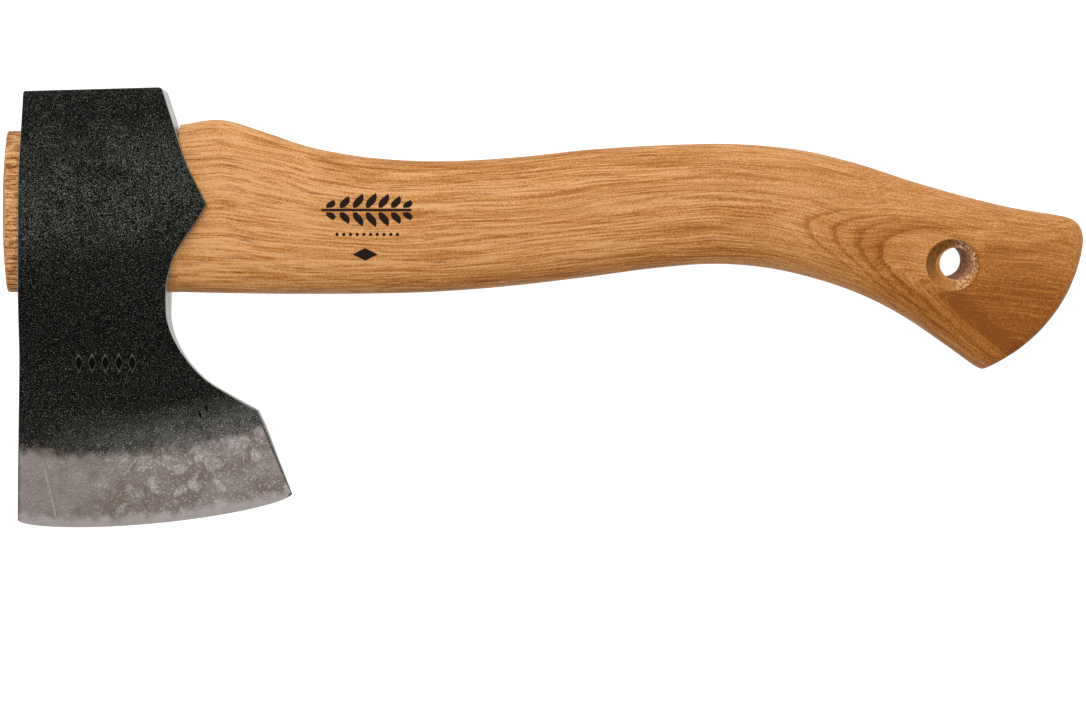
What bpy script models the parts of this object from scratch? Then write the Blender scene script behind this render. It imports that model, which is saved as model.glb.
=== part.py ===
"""Small forged hatchet with a curved wooden handle, lying on the cheek of its head.

+X runs along the handle to its knob, +Y points from the cutting edge to the poll, and +Z is up.
The origin is on the ground, under the middle of the bounding box. Design sizes are in millimetres.
"""

import math

import bmesh
import bpy
from mathutils import Vector

MM = 0.001  # one millimetre in metres

# Overall
CHEEK_HALF = 14.0  # half of the head's thickness at the eye
MID_HEIGHT = CHEEK_HALF  # the middle plane's height above the ground
FIT_GAP = 0.3  # clearance between pieces that touch
OVERSHOOT = 3.0  # how far a cutter stands out of what it cuts

# Eye of the head, an oval hole along X
EYE_LOW_Y = 4.8
EYE_HIGH_Y = 58.2
EYE_HALF_WIDTH = 10.6
EYE_ROUNDNESS = 2.5  # superellipse exponent, where 2 is an ellipse
EYE_SIDES = 48
EYE_CUTTER_X = (-190.0, -100.0)

# Tongue of the handle, which fills the eye and stands out of its far side
TONGUE_END_X = -178.0
TONGUE_ROOT_X = -119.95
TONGUE_HALF_WIDTH = EYE_HALF_WIDTH - FIT_GAP
TONGUE_LOW_Y = EYE_LOW_Y + FIT_GAP
TONGUE_HIGH_Y = EYE_HIGH_Y - FIT_GAP
TONGUE_DOME = [(0.0, 2.6), (0.8, 1.0), (2.6, 0.0)]  # distance from the end, inset of the outline

# Kerf sawn in the tongue, and its two wedges
WEDGE_DEPTH = 34.0
WEDGE_HALF_END = 2.2  # half thickness at the tongue's end
WEDGE_HALF_TIP = 1.0
WEDGE_INSET_Y = 0.7
WEDGE_CORNER = 3.0
STEEL_WEDGE_DEPTH = 18.0
STEEL_WEDGE_HALF_END = 1.5
STEEL_WEDGE_HALF_TIP = 0.5
STEEL_WEDGE_WIDTH = 19.0
STEEL_WEDGE_TURN = math.radians(35)  # about X, away from square across the kerf

# Hang hole: a bore that leans, with a hand-cut countersink at each mouth
KNOB_HALF = 12.1  # half of the handle's thickness there
BORE_RADIUS = 5.3
BORE_MIDDLE = (134.3, 14.9)
BORE_LEAN = (-0.083, 0.089)  # shift in X and Y for each millimetre down
SINK_RADIUS = 8.7
SINK_DEPTH = 3.4
SINK_TOP_CENTRE = (134.0, 13.6)
SINK_BOTTOM_CENTRE = (134.2, 15.6)
BORE_REACH = 20.0  # how far its cutter runs from the middle plane
HOLE_SIDES = 36

# Head: rows from the poll face to the cutting edge.
# Left end x, y; right end x, y; sag of the row's middle towards -Y; half thickness.
HEAD_ROWS = [
    (-170.2, 70.6, -124.8, 71.9, 0.0, 12.0),
    (-170.7, 60.0, -121.1, 60.4, 0.0, 13.0),
    (-171.3, 47.5, -116.9, 47.5, 0.0, CHEEK_HALF),
    (-171.6, 40.0, -113.3, 40.0, 0.0, CHEEK_HALF),
    (-171.7, 33.6, -110.0, 33.6, 0.0, CHEEK_HALF),
    (-171.7, 27.8, -113.2, 27.8, 0.0, CHEEK_HALF),
    (-171.7, 21.3, -117.8, 21.3, 0.0, CHEEK_HALF),
    (-171.8, 14.0, -121.6, 14.0, 0.0, 13.6),
    (-171.9, 4.8, -123.4, 4.8, 0.0, 12.6),
    (-172.0, -2.0, -123.4, -2.0, 0.0, 10.9),
    (-172.1, -8.0, -122.2, -8.0, 0.0, 8.6),
    (-172.2, -13.0, -120.0, -13.0, 0.0, 6.5),
    (-172.3, -18.5, -116.3, -18.5, 0.0, 5.1),
    (-172.4, -24.0, -110.9, -24.0, 0.0, 4.6),
    (-172.5, -29.3, -102.8, -29.0, 0.2, 4.3),
    (-172.6, -35.0, -93.7, -34.0, 1.0, 4.0),
    (-172.8, -46.0, -91.2, -39.2, 5.0, 3.4),
    (-173.1, -58.5, -87.0, -50.3, 5.2, 1.9),
    (-173.3, -70.3, -82.6, -61.7, 5.3, 0.1),
]
HEAD_COLUMNS = 10

# Handle: cross-sections from the shoulder at the head to the knob.
# Top x, y; bottom x, y; half thickness; superellipse exponent; bulge of the section towards +X.
HANDLE_SECTIONS = [
    (-119.55, 60.1, -119.6, 4.95, 10.3, 2.05, 0.0),
    (-106.0, 61.7, -106.0, 4.6, 10.35, 2.1, 0.0),
    (-92.0, 57.8, -94.0, 4.4, 10.8, 2.3, 0.0),
    (-76.0, 52.6, -78.0, 4.3, 11.3, 2.45, 0.0),
    (-56.0, 49.2, -58.0, 4.4, 11.5, 2.5, 0.0),
    (-34.0, 48.1, -36.0, 5.0, 11.6, 2.5, 0.0),
    (-10.0, 49.3, -12.0, 6.8, 11.8, 2.5, 0.0),
    (16.0, 52.0, 14.0, 9.8, 11.9, 2.5, 0.0),
    (40.0, 53.4, 36.0, 12.7, 12.0, 2.5, 0.0),
    (62.0, 53.8, 56.0, 14.2, 12.0, 2.5, 0.0),
    (84.0, 51.9, 74.0, 12.9, 12.0, 2.5, 0.0),
    (103.0, 47.5, 90.0, 9.3, 11.9, 2.5, 0.0),
    (121.0, 41.7, 105.0, 4.1, 11.9, 2.5, 1.0),
    (138.0, 36.8, 119.0, -3.1, 12.0, 2.55, 3.0),
    (154.0, 32.9, 132.0, -11.9, 12.1, 2.6, 6.0),
    (168.0, 30.6, 141.0, -18.4, 12.2, 2.6, 9.5),
]
HANDLE_END_SECTIONS = [
    (173.8, 29.3, 143.4, -19.9, 12.0, 2.6, 8.8),
    (176.8, 27.0, 144.6, -20.4, 11.2, 2.6, 8.2),
    (178.1, 23.5, 145.6, -20.3, 9.2, 2.6, 7.1),
]
SECTION_STEPS = 3  # rings for each gap between two cross-sections
RING_POINTS = 32  # points round a cross-section, an even number

FORGED_STEEL = ("forged_steel", (0.030, 0.031, 0.027, 1.0), 0.62, 0.7)
HANDLE_WOOD = ("oiled_wood", (0.60, 0.30, 0.11, 1.0), 0.45, 0.0)
WEDGE_WOOD = ("wedge_wood", (0.66, 0.42, 0.20, 1.0), 0.6, 0.0)
WEDGE_STEEL = ("wedge_steel", (0.34, 0.33, 0.32, 1.0), 0.4, 1.0)


def clear_scene():
    for thing in list(bpy.data.objects):
        bpy.data.objects.remove(thing, do_unlink=True)


def make_material(name, colour, roughness, metallic):
    material = bpy.data.materials.new(name)
    material.use_nodes = True
    shader = material.node_tree.nodes["Principled BSDF"]
    shader.inputs["Base Color"].default_value = colour
    shader.inputs["Roughness"].default_value = roughness
    shader.inputs["Metallic"].default_value = metallic
    return material


def finish_object(name, bm, finish=None, smooth_degrees=None):
    """Turns a bmesh in millimetres about the middle plane into an object in metres on the ground."""
    bmesh.ops.recalc_face_normals(bm, faces=bm.faces)
    for vert in bm.verts:
        vert.co = (vert.co + Vector((0.0, 0.0, MID_HEIGHT))) * MM
    mesh = bpy.data.meshes.new(name)
    bm.to_mesh(mesh)
    bm.free()
    thing = bpy.data.objects.new(name, mesh)
    bpy.context.scene.collection.objects.link(thing)
    if finish:
        mesh.materials.append(make_material(*finish))
    if smooth_degrees:
        mesh.shade_smooth()
        mesh.set_sharp_from_angle(angle=math.radians(smooth_degrees))
    return thing


def cut(thing, cutter):
    """Takes the cutter's shape out of the object, and leaves the cutter as a wire guide."""
    cutter.hide_render = True
    cutter.display_type = "WIRE"
    modifier = thing.modifiers.new(f"cut_{cutter.name}", "BOOLEAN")
    modifier.operation = "DIFFERENCE"
    modifier.solver = "EXACT"
    modifier.object = cutter


def signed_power(value, power):
    return math.copysign(abs(value) ** power, value)


def superellipse(roundness, count):
    """Shares of the half height and the half width, point by point round a superellipse."""
    shares = []
    for step in range(count):
        angle = 2.0 * math.pi * step / count
        along = signed_power(math.cos(angle), 2.0 / roundness)
        across = signed_power(math.sin(angle), 2.0 / roundness)
        shares.append((along, across))
    return shares


def section_ring(section, count=RING_POINTS):
    """Points of one cross-section, from its top round the front to its bottom and back."""
    top_x, top_y, bottom_x, bottom_y, half_width, roundness, bulge = section
    top = Vector((top_x, top_y, 0.0))
    bottom = Vector((bottom_x, bottom_y, 0.0))
    middle = (top + bottom) / 2.0
    half = (top - bottom) / 2.0
    outward = Vector((half.y, -half.x, 0.0)).normalized()
    points = []
    for along, across in superellipse(roundness, count):
        point = middle + half * along + outward * (bulge * (1.0 - along * along))
        point.z = half_width * across
        points.append(point)
    return points


def loft(bm, rings):
    """Skins a list of closed rings and caps both ends with strips across the ring."""
    rows = [[bm.verts.new(point) for point in ring] for ring in rings]
    count = len(rings[0])
    for near, far in zip(rows, rows[1:]):
        for step in range(count):
            following = (step + 1) % count
            bm.faces.new((near[step], near[following], far[following], far[step]))
    for row in (rows[0], rows[-1]):
        for step in range(count // 2):
            corners = dict.fromkeys((row[step], row[step + 1], row[-step - 1], row[-step]))
            bm.faces.new(tuple(corners))


def smooth_sections(stations, steps):
    """Extra cross-sections on a Catmull-Rom curve through the given ones."""
    first = [2.0 * a - b for a, b in zip(stations[0], stations[1])]
    last = [2.0 * a - b for a, b in zip(stations[-1], stations[-2])]
    padded = [first, *stations, last]
    found = []
    for before, start, end, after in zip(padded, padded[1:], padded[2:], padded[3:]):
        for step in range(steps):
            t = step / steps
            found.append(tuple(catmull_rom(t, *values) for values in zip(before, start, end, after)))
    found.append(tuple(stations[-1]))
    return found


def catmull_rom(t, before, start, end, after):
    slope_start = (end - before) / 2.0
    slope_end = (after - start) / 2.0
    rise = end - start
    return start + t * (slope_start + t * (3.0 * rise - 2.0 * slope_start - slope_end
                                           + t * (slope_start + slope_end - 2.0 * rise)))


def tongue_section(x, inset):
    """Cross-section of the straight tongue, drawn in by the inset near its domed end."""
    return (x, TONGUE_HIGH_Y - inset, x, TONGUE_LOW_Y + inset, TONGUE_HALF_WIDTH - inset,
            EYE_ROUNDNESS, 0.0)


def tapered_prism(bm, end_x, tip_x, half_end, half_tip, low, high, turn=0.0):
    """A wedge along X: thick at end_x, thin at tip_x, and as wide as low to high before the turn."""
    corners = []
    for x, half in ((end_x, half_end), (tip_x, half_tip)):
        for wide, thick in ((low, -half), (high, -half), (high, half), (low, half)):
            y = wide * math.cos(turn) - thick * math.sin(turn)
            z = wide * math.sin(turn) + thick * math.cos(turn)
            corners.append(bm.verts.new((x, y, z)))
    bm.faces.new(corners[:4])
    bm.faces.new(corners[4:])
    for step in range(4):
        following = (step + 1) % 4
        bm.faces.new((corners[step], corners[following], corners[following + 4], corners[step + 4]))


def disc_stack(bm, rings, sides):
    """A closed solid skinned over circles, each given by centre x, y, height z and radius."""
    rows = []
    for x, y, z, radius in rings:
        row = []
        for step in range(sides):
            angle = 2.0 * math.pi * step / sides
            row.append(bm.verts.new((x + radius * math.cos(angle), y + radius * math.sin(angle), z)))
        rows.append(row)
    for near, far in zip(rows, rows[1:]):
        for step in range(sides):
            following = (step + 1) % sides
            bm.faces.new((near[step], near[following], far[following], far[step]))
    bm.faces.new(rows[0])
    bm.faces.new(rows[-1])


def head_grid():
    """Points of one cheek, row by row, with the half thickness as z."""
    grid = []
    for left_x, left_y, right_x, right_y, sag, half in HEAD_ROWS:
        row = []
        for column in range(HEAD_COLUMNS + 1):
            share = column / HEAD_COLUMNS
            x = left_x + (right_x - left_x) * share
            y = left_y + (right_y - left_y) * share - 4.0 * sag * share * (1.0 - share)
            row.append(Vector((x, y, half)))
        grid.append(row)
    return grid


def make_eye_cutter():
    """The eye's oval, longer along X than the head."""
    bm = bmesh.new()
    rings = []
    for x in EYE_CUTTER_X:
        section = (x, EYE_HIGH_Y, x, EYE_LOW_Y, EYE_HALF_WIDTH, EYE_ROUNDNESS, 0.0)
        rings.append(section_ring(section, EYE_SIDES))
    loft(bm, rings)
    return finish_object("eye_cutter", bm)


def make_axe_head():
    bm = bmesh.new()
    grid = head_grid()
    front = [[bm.verts.new(point) for point in row] for row in grid]
    back = [[bm.verts.new((point.x, point.y, -point.z)) for point in row] for row in grid]
    for side in (front, back):
        for upper, lower in zip(side, side[1:]):
            for step in range(HEAD_COLUMNS):
                bm.faces.new((upper[step], upper[step + 1], lower[step + 1], lower[step]))
    for row in range(len(grid) - 1):
        for column in (0, HEAD_COLUMNS):
            corners = (front[row][column], front[row + 1][column], back[row + 1][column], back[row][column])
            bm.faces.new(corners)
    for row in (0, len(grid) - 1):
        for step in range(HEAD_COLUMNS):
            corners = (front[row][step], front[row][step + 1], back[row][step + 1], back[row][step])
            bm.faces.new(corners)
    head = finish_object("axe_head", bm, FORGED_STEEL, smooth_degrees=20)
    cut(head, make_eye_cutter())
    return head


def make_kerf_cutter():
    """Room for the wooden wedge: a tapered slot through the whole height of the tongue."""
    bm = bmesh.new()
    taper = (WEDGE_HALF_END - WEDGE_HALF_TIP) / WEDGE_DEPTH
    tapered_prism(
        bm,
        TONGUE_END_X - OVERSHOOT,
        TONGUE_END_X + WEDGE_DEPTH + FIT_GAP,
        WEDGE_HALF_END + FIT_GAP + taper * OVERSHOOT,
        WEDGE_HALF_TIP + FIT_GAP,
        TONGUE_LOW_Y - OVERSHOOT,
        TONGUE_HIGH_Y + OVERSHOOT,
    )
    return finish_object("kerf_cutter", bm)


def steel_wedge_prism(bm, gap, overshoot):
    """The steel wedge about the tongue's middle, grown by a gap when it cuts its own slot."""
    taper = (STEEL_WEDGE_HALF_END - STEEL_WEDGE_HALF_TIP) / STEEL_WEDGE_DEPTH
    half_wide = STEEL_WEDGE_WIDTH / 2.0 + gap
    tapered_prism(
        bm,
        TONGUE_END_X - overshoot,
        TONGUE_END_X + STEEL_WEDGE_DEPTH + gap,
        STEEL_WEDGE_HALF_END + gap + taper * overshoot,
        STEEL_WEDGE_HALF_TIP + gap,
        -half_wide,
        half_wide,
        math.pi / 2.0 - STEEL_WEDGE_TURN,
    )
    bmesh.ops.translate(bm, verts=bm.verts, vec=(0.0, (TONGUE_LOW_Y + TONGUE_HIGH_Y) / 2.0, 0.0))


def make_steel_slot_cutter():
    bm = bmesh.new()
    steel_wedge_prism(bm, FIT_GAP, OVERSHOOT)
    return finish_object("steel_slot_cutter", bm)


def make_steel_wedge():
    bm = bmesh.new()
    steel_wedge_prism(bm, 0.0, 0.0)
    return finish_object("steel_wedge", bm, WEDGE_STEEL)


def make_wood_wedge(slot_cutter):
    """Thin wedge that fills the kerf, with its outer corners eased to follow the domed end."""
    bm = bmesh.new()
    low = TONGUE_LOW_Y + WEDGE_INSET_Y
    high = TONGUE_HIGH_Y - WEDGE_INSET_Y
    tip_x = TONGUE_END_X + WEDGE_DEPTH
    outline = [
        (TONGUE_END_X, low + WEDGE_CORNER),
        (TONGUE_END_X + WEDGE_CORNER, low),
        (tip_x, low),
        (tip_x, high),
        (TONGUE_END_X + WEDGE_CORNER, high),
        (TONGUE_END_X, high - WEDGE_CORNER),
    ]
    sides = []
    for facing in (-1.0, 1.0):
        row = []
        for x, y in outline:
            share = (x - TONGUE_END_X) / WEDGE_DEPTH
            half = WEDGE_HALF_END + (WEDGE_HALF_TIP - WEDGE_HALF_END) * share
            row.append(bm.verts.new((x, y, facing * half)))
        bm.faces.new(row)
        sides.append(row)
    for step in range(len(outline)):
        following = (step + 1) % len(outline)
        bm.faces.new((sides[0][step], sides[0][following], sides[1][following], sides[1][step]))
    wedge = finish_object("wood_wedge", bm, WEDGE_WOOD)
    cut(wedge, slot_cutter)
    return wedge


def make_hang_hole_cutters():
    """The leaning bore, and the two countersinks that open it out at the knob's faces."""
    bore = bmesh.new()
    rings = []
    for z in (BORE_REACH, -BORE_REACH):
        x = BORE_MIDDLE[0] - BORE_LEAN[0] * z
        y = BORE_MIDDLE[1] - BORE_LEAN[1] * z
        rings.append((x, y, z, BORE_RADIUS))
    disc_stack(bore, rings, HOLE_SIDES)
    cutters = [finish_object("bore_cutter", bore)]
    slope = (SINK_RADIUS - BORE_RADIUS) / SINK_DEPTH
    for name, centre, facing in (("top", SINK_TOP_CENTRE, 1.0), ("bottom", SINK_BOTTOM_CENTRE, -1.0)):
        sink = bmesh.new()
        rings = [
            (*centre, facing * (KNOB_HALF + OVERSHOOT), SINK_RADIUS + slope * OVERSHOOT),
            (*centre, facing * (KNOB_HALF - SINK_DEPTH), BORE_RADIUS),
        ]
        disc_stack(sink, rings, HOLE_SIDES)
        cutters.append(finish_object(f"sink_{name}_cutter", sink))
    return cutters


def make_handle(slot_cutter):
    bm = bmesh.new()
    rings = [section_ring(tongue_section(TONGUE_END_X + x, inset)) for x, inset in TONGUE_DOME]
    rings.append(section_ring(tongue_section(TONGUE_ROOT_X, 0.0)))
    for section in smooth_sections(HANDLE_SECTIONS, SECTION_STEPS) + HANDLE_END_SECTIONS:
        rings.append(section_ring(section))
    loft(bm, rings)
    handle = finish_object("handle", bm, HANDLE_WOOD, smooth_degrees=35)
    cut(handle, make_kerf_cutter())
    cut(handle, slot_cutter)
    for cutter in make_hang_hole_cutters():
        cut(handle, cutter)
    return handle


def main():
    clear_scene()
    slot_cutter = make_steel_slot_cutter()
    make_axe_head()
    make_handle(slot_cutter)
    make_wood_wedge(slot_cutter)
    make_steel_wedge()


main()
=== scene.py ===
"""The looks of a small forged hatchet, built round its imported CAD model.

Design sizes are in millimetres in the model's own frame: +X along the handle to the knob, +Y from the
cutting edge to the poll, +Z up. The hatchet lies on one cheek, and its middle plane is level.
"""

import math

import bmesh
import bpy
import numpy as np
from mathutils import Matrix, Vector, noise
from mathutils.bvhtree import BVHTree


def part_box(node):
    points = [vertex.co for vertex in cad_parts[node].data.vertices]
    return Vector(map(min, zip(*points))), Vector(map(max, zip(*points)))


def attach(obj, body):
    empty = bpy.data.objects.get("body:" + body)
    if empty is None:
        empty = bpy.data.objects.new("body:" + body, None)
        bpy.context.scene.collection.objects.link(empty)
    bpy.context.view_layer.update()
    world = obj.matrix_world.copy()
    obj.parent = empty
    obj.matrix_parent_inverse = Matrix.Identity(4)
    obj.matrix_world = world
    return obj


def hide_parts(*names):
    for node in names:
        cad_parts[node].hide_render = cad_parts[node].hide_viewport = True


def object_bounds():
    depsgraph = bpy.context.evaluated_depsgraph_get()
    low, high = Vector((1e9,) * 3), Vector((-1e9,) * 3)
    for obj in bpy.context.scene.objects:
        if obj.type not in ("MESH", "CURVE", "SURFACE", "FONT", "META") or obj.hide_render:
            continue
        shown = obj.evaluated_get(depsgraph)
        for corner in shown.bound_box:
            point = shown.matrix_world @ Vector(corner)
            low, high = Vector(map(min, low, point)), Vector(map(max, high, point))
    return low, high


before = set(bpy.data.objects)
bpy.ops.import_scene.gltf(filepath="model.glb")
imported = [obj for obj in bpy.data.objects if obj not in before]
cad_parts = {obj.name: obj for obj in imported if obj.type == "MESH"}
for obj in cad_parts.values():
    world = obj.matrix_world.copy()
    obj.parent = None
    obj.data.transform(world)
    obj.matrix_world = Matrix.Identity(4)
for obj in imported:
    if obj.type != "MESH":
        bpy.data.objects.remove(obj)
CAD_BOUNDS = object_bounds()

MM = 0.001
HEAD_LOW, HEAD_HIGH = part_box("axe_head")
MID_HEIGHT = (HEAD_LOW.z + HEAD_HIGH.z) / 2.0 / MM
TONGUE_END_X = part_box("handle")[0].x / MM

# Camera, square above the cheek and far off
CAMERA_Y = -18.15
CAMERA_ABOVE_MIDDLE = 1500.0
CAMERA_LENS = 150.7
SENSOR_WIDTH = 36.0

# Head rows from the poll to the edge:
# left end x, y; right end x, y; sag; roundness of the sag; half thickness; right edge's radius
HEAD_ROWS = np.array([
    (-170.2, 70.7, -124.8, 71.9, 0.0, 1.0, 12.0, 0.7),
    (-170.7, 60.0, -121.1, 60.4, 0.0, 1.0, 13.0, 0.7),
    (-171.3, 47.5, -116.9, 47.5, 0.0, 1.0, 14.0, 0.7),
    (-171.6, 40.0, -113.3, 40.0, 0.0, 1.0, 14.0, 0.8),
    (-171.7, 33.6, -110.0, 33.6, 0.0, 1.0, 14.0, 0.9),
    (-171.7, 27.8, -113.2, 27.8, 0.0, 1.0, 14.0, 0.8),
    (-171.7, 21.3, -117.8, 21.3, 0.0, 1.0, 14.0, 0.7),
    (-171.8, 14.0, -121.6, 14.0, 0.0, 1.0, 13.6, 0.7),
    (-171.9, 4.8, -123.4, 4.8, 0.0, 1.0, 12.6, 0.7),
    (-172.0, -2.0, -123.4, -2.0, 0.0, 1.0, 10.9, 0.7),
    (-172.1, -8.0, -122.2, -8.0, 0.0, 1.0, 8.6, 0.7),
    (-172.2, -13.0, -120.0, -13.0, 0.0, 1.0, 6.5, 0.6),
    (-172.3, -18.5, -116.3, -18.5, 0.0, 1.0, 5.1, 0.6),
    (-172.4, -24.0, -110.9, -24.0, 0.0, 1.0, 4.6, 0.8),
    (-172.5, -29.3, -102.8, -29.0, 0.2, 1.0, 4.3, 1.3),
    (-172.6, -35.0, -93.7, -34.0, 1.0, 1.0, 4.0, 1.9),
    (-172.8, -46.0, -91.2, -39.2, 5.0, 0.9, 3.4, 1.9),
    (-173.1, -58.5, -87.0, -50.3, 5.2, 0.75, 1.95, 1.3),
    (-173.3, -68.4, -83.3, -59.9, 5.4, 0.6, 0.5, 0.5),
    (-173.3, -70.3, -82.6, -61.7, 5.4, 0.6, 0.0, 0.0),
])
LUG_ROW = 4
BEARD_CORNER_ROW = 15
BEVEL_ROW = 16
MICRO_BEVEL_ROW = 18
CREASED_ROWS = (LUG_ROW, BEARD_CORNER_ROW, BEVEL_ROW, MICRO_BEVEL_ROW)
ROW_STEP = 1.0
HEAD_COLUMNS = 84
WALL_STEPS = 8
ARC_STEPS = 4
LEFT_RADIUS = 0.7
POLL_RADIUS = 0.8
FORGE_WAVE = 0.10  # height of the forged cheeks' unevenness
FORGE_BROAD = 17.0  # size of its broad waves
FORGE_FINE = 5.0  # and of its fine ones

# Stamp on the cheek, and the small forging dents beside it
STAMP_CENTRE = (-143.8, -18.4)
STAMP_HALF = (1.45, 3.6)
STAMP_PITCH = 4.4
STAMP_COUNT = 5
STAMP_DEPTH = 0.40
STAMP_FLOOR = 0.7  # share of a stamp's rim that its floor takes
STAMP_OVERSHOOT = 0.4
STAMP_MARGIN = 0.2  # how much deeper than a stamp a point may lie and still be taken as pressed
DENTS = (
    (-124.0, -25.9), (-120.6, -26.8), (-117.7, -25.4), (-115.0, -27.3), (-110.8, -33.4), (-112.9, -35.3),
)
DENT_HALF = (0.65, 1.9)
DENT_LEAN = -0.25  # shift in X for each millimetre up

# Scratches on the bevel, from start to end
SCRATCHES = (((-164.0, -53.8), (-160.5, -69.6)), ((-133.0, -48.8), (-138.0, -55.4)))
SCRATCH_WIDTH = 0.22

# Eye, an oval hole along X through the head
EYE_LOW_Y = 4.8
EYE_HIGH_Y = 58.2
EYE_HALF_WIDTH = 10.6
EYE_ROUNDNESS = 2.5
EYE_CUTTER_X = (-190.0, -100.0)
EYE_SIDES = 128

# Tongue of the handle
TONGUE_FIT = 0.1  # how tightly it fills the eye
TONGUE_ROOT_X = -119.95
TONGUE_RADIUS = 0.9  # round-over of its end
TONGUE_DOME = 1.5  # rise of the end face's middle
TONGUE_DOME_SHARES = (0.04, 0.2, 0.4, 0.6, 0.75, 0.87)  # of the way out from its middle
TONGUE_CORNER_STEPS = 6
TONGUE_STEP = 1.5

# Handle sections from the head to the knob:
# top x, y; bottom x, y; half thickness; superellipse exponent; bulge towards +X
HANDLE_SECTIONS = np.array([
    (-119.5, 60.1, -119.6, 4.95, 10.35, 2.45, 0.0),
    (-106.0, 61.7, -106.0, 4.6, 10.45, 2.4, 0.0),
    (-92.0, 57.8, -94.0, 4.4, 10.8, 2.4, 0.0),
    (-76.0, 52.6, -78.0, 4.3, 11.3, 2.45, 0.0),
    (-56.0, 49.2, -58.0, 4.4, 11.5, 2.5, 0.0),
    (-34.0, 48.1, -36.0, 5.0, 11.6, 2.5, 0.0),
    (-10.0, 49.3, -12.0, 6.8, 11.8, 2.5, 0.0),
    (16.0, 52.0, 14.0, 9.8, 11.9, 2.5, 0.0),
    (40.0, 53.4, 36.0, 12.7, 12.0, 2.5, 0.0),
    (62.0, 53.8, 56.0, 14.2, 12.0, 2.5, 0.0),
    (84.0, 51.9, 74.0, 12.9, 12.0, 2.5, 0.0),
    (103.0, 47.5, 90.0, 9.3, 11.9, 2.5, 0.0),
    (121.0, 41.7, 105.0, 4.1, 11.9, 2.5, 1.0),
    (138.0, 36.8, 119.0, -3.1, 12.0, 2.55, 3.0),
    (154.0, 32.9, 132.0, -11.9, 12.1, 2.6, 6.0),
    (168.0, 30.6, 141.0, -18.4, 12.2, 2.6, 9.5),
    (173.8, 29.3, 143.4, -19.9, 12.0, 2.6, 8.8),
    (176.8, 27.0, 144.6, -20.4, 11.2, 2.6, 8.2),
    (178.1, 23.5, 145.6, -20.3, 9.2, 2.6, 7.1),
])
SECTION_STEPS = 14
RING_POINTS = 120

# Hang hole
KNOB_HALF = 12.1
BORE_RADIUS = 5.3
BORE_MIDDLE = (134.3, 14.9)
BORE_LEAN = (-0.140, 0.089)  # shift in X and Y for each millimetre down
SINK_RADIUS = 8.7
SINK_SLOPE = 0.62  # radius lost for each millimetre down from the rim, to half the depth
SINK_DEPTH = 3.6
SINK_TOP_CENTRE = (134.0, 13.6)
SINK_BOTTOM_CENTRE = (134.2, 15.6)
SINK_MIDDLE_Y = (SINK_TOP_CENTRE[1] + SINK_BOTTOM_CENTRE[1]) / 2.0
SINK_LEAN = (SINK_BOTTOM_CENTRE[1] - SINK_TOP_CENTRE[1]) / 2.0 / KNOB_HALF
BORE_REACH = 20.0
OVERSHOOT = 3.0
HOLE_SIDES = 72

# Wedges
WEDGE_DEPTH = 34.0
WEDGE_HALF_END = 2.2
WEDGE_HALF_TIP = 1.0
STEEL_WEDGE_DEPTH = 18.0
STEEL_WEDGE_HALF_END = 1.5
STEEL_WEDGE_HALF_TIP = 0.5
STEEL_WEDGE_WIDTH = 19.0
STEEL_WEDGE_TURN = math.radians(35)
WEDGE_FIT = 0.05

# The wood's layers on the grip: one family follows the belly, one runs almost level
BELLY_LINE = (
    (-180.0, -80.0, -40.0, 0.0, 30.0, 55.0, 75.0, 180.0),
    (24.0, 20.0, 17.5, 15.5, 14.3, 13.4, 12.0, 2.0),
)
LEVEL_LINE = (
    (-180.0, -118.0, -100.0, -84.0, -70.0, -56.0, -34.0, -10.0, 16.0, 40.0, 62.0, 85.0, 180.0),
    (60.0, 61.5, 62.0, 59.5, 57.0, 55.0, 53.2, 51.6, 50.0, 48.8, 47.8, 47.2, 50.0),
)
BELLY_GROWTH = 1.2  # layers for each millimetre away from the belly's line
LAYER_SOFTNESS = 5.5  # how gently the two families meet

# The layers at the knob, each with points that it passes through
KNOB_LAYERS = (
    (-4.0, ((90.0, 51.2), (103.0, 47.9))),
    (0.0, ((121.0, 41.5),)),
    (3.0, ((90.0, 9.3), (138.0, 36.8))),
    (4.0, ((89.0, 42.4), (108.0, 39.0), (126.3, 34.6))),
    (8.0, ((100.0, 5.9),)),
    (17.0, ((165.0, 30.4), (126.0, 31.4), (105.0, 32.6), (95.0, 31.0), (88.5, 29.6), (85.5, 27.1),
            (87.0, 23.3), (92.0, 17.8), (100.0, 11.0), (110.0, 3.2))),
    (20.0, ((126.0, 30.0), (112.0, 30.6), (102.0, 29.4), (97.0, 27.6), (95.2, 24.9), (96.5, 20.6),
            (100.0, 15.8), (108.0, 8.0), (118.0, -1.2))),
    (23.0, ((150.0, 29.4), (126.0, 28.4), (113.0, 27.6), (106.5, 25.6), (104.0, 21.0), (105.2, 16.2),
            (110.0, 10.2), (122.0, -0.8), (138.0, -15.0))),
    (26.0, ((172.0, 28.1), (150.0, 27.6), (136.0, 27.1), (118.0, 25.3), (112.8, 22.0), (110.6, 17.4),
            (111.8, 12.6), (116.0, 8.0), (128.9, -3.2), (143.3, -16.3))),
    (30.0, ((166.2, 21.7), (155.0, 18.6), (145.4, 15.9), (136.0, 14.2), (128.5, 11.0), (127.5, 7.5),
            (134.4, 0.2), (143.0, -7.0), (153.0, -15.5))),
    (34.0, ((175.0, 17.5), (150.0, 7.0), (165.0, -3.0))),
)
LAYER_STIFFNESS = 60.0  # how far the field may pass beside those points
LAYER_TIES_X = (48.0, 56.0, 64.0, 72.0)  # where the knob's layers are tied to the grip's
LAYER_TIES = 7  # ties across the handle at each
KNOB_START = (52.0, 70.0)
RING_SLANT = 0.35  # layers for each millimetre down from the knob's face

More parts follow.
